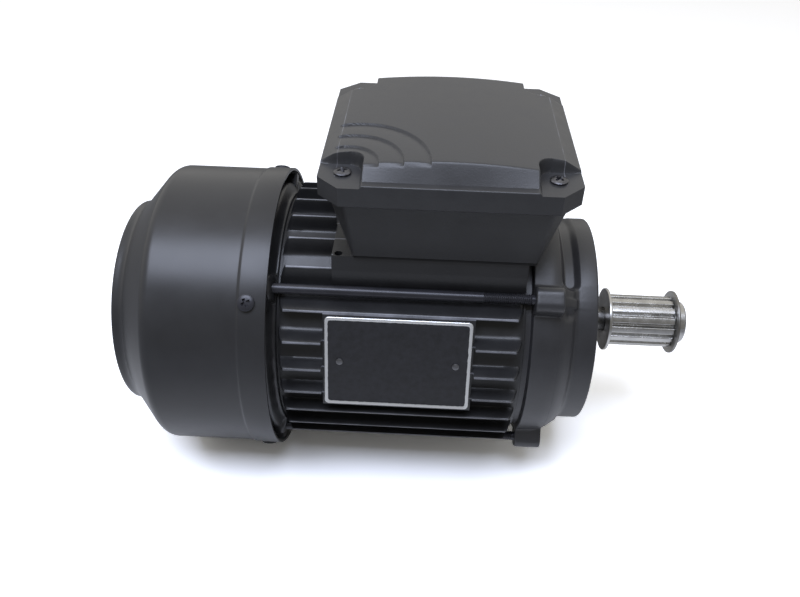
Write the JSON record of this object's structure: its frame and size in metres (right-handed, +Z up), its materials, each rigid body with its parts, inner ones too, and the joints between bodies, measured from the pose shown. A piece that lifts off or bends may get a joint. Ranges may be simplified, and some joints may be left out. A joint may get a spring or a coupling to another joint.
{
  "type": "electric motor",
  "caption": "Small flange-mounted induction motor with finned frame, fan cowl, terminal box and a toothed belt pulley on its turning shaft.",
  "frame": {"origin": "centre of the overall box at floor level, under the cowl rim the motor lies on", "axes": "+X along the shaft towards the pulley, +Z up towards the terminal box, the name plate faces -Y"},
  "size_m": [0.244, 0.1248, 0.1588],
  "materials": {
    "black_paint_on_aluminium": "satin black paint over die casting",
    "black_paint_on_sheet_steel": "satin black paint over turned sheet",
    "grey_black_plastic": "moulded, fine matt texture",
    "zinc_plated_steel": "dull zinc plate",
    "blackened_steel": "blackened, slightly oily",
    "machined_steel": "machined, bright",
    "lamination_steel": "stacked sheet edge",
    "cast_aluminium": "as cast",
    "varnished_copper": "varnished copper winding",
    "brass": "turned brass",
    "black_rubber": "matt",
    "fan_plastic": "moulded",
    "terminal_board_plastic": "moulded, brown",
    "plate_black_and_aluminium": "black field with a bright metal border"
  },
  "bodies": {
    "stator": {"stator_frame": "black_paint_on_aluminium", "drive_end_shield": "black_paint_on_aluminium", "fan_end_shield": "black_paint_on_aluminium", "fan_cowl": "black_paint_on_sheet_steel", "tie_rod_1": "blackened_steel", "tie_rod_2": "blackened_steel", "tie_rod_3": "blackened_steel", "tie_rod_4": "blackened_steel", "cowl_screw_1": "blackened_steel", "cowl_screw_2": "blackened_steel", "cowl_screw_3": "blackened_steel", "cowl_screw_4": "blackened_steel", "lid_screw_1": "blackened_steel", "lid_screw_2": "blackened_steel", "lid_screw_3": "blackened_steel", "lid_screw_4": "blackened_steel", "box_screw_1": "blackened_steel", "box_screw_2": "blackened_steel", "stator_core": "lamination_steel", "winding_drive_end": "varnished_copper", "winding_fan_end": "varnished_copper", "bearing_outer_ring_drive": "machined_steel", "bearing_outer_ring_fan": "machined_steel", "wave_spring": "machined_steel", "earth_screw": "zinc_plated_steel", "name_plate_rivet_1": "cast_aluminium", "name_plate_rivet_2": "cast_aluminium", "shaft_seal": "black_rubber", "lid_gasket": "black_rubber", "box_gasket": "black_rubber", "terminal_box": "grey_black_plastic", "terminal_lid": "grey_black_plastic", "cable_entry_plug": "grey_black_plastic", "terminal_board": "terminal_board_plastic", "terminal_stud_1": "brass", "terminal_stud_2": "brass", "terminal_stud_3": "brass", "terminal_stud_4": "brass", "terminal_stud_5": "brass", "terminal_stud_6": "brass", "terminal_link_1": "brass", "terminal_link_2": "brass", "terminal_link_3": "brass", "name_plate": "plate_black_and_aluminium"},
    "rotor": {"shaft": "machined_steel", "shaft_key": "machined_steel", "rotor_core": "lamination_steel", "rotor_end_ring_drive": "cast_aluminium", "rotor_end_ring_fan": "cast_aluminium", "bearing_inner_ring_drive": "machined_steel", "bearing_inner_ring_fan": "machined_steel", "cooling_fan": "fan_plastic", "fan_circlip": "blackened_steel", "pulley": "machined_steel", "pulley_flange_inner": "zinc_plated_steel", "pulley_flange_outer": "zinc_plated_steel"},
    "balls_drive": {"ball_set_drive": "machined_steel"},
    "balls_fan": {"ball_set_fan": "machined_steel"}
  },
  "joints": [
    {"name": "rotor_spin", "type": "hinge", "parent": "stator", "child": "rotor", "pos_m": [0.075, 0, 0.06237], "axis": [1, 0, 0], "continuous": true},
    {"name": "balls_drive_spin", "type": "hinge", "parent": "stator", "child": "balls_drive", "pos_m": [0.0634, 0, 0.06237], "axis": [1, 0, 0], "continuous": true},
    {"name": "balls_fan_spin", "type": "hinge", "parent": "stator", "child": "balls_fan", "pos_m": [-0.057, 0, 0.06237], "axis": [1, 0, 0], "continuous": true}
  ],
  "couplings": [
    {"joint": "balls_drive_spin", "follows": "rotor_spin", "ratio": 0.365},
    {"joint": "balls_fan_spin", "follows": "rotor_spin", "ratio": 0.365}
  ]
}
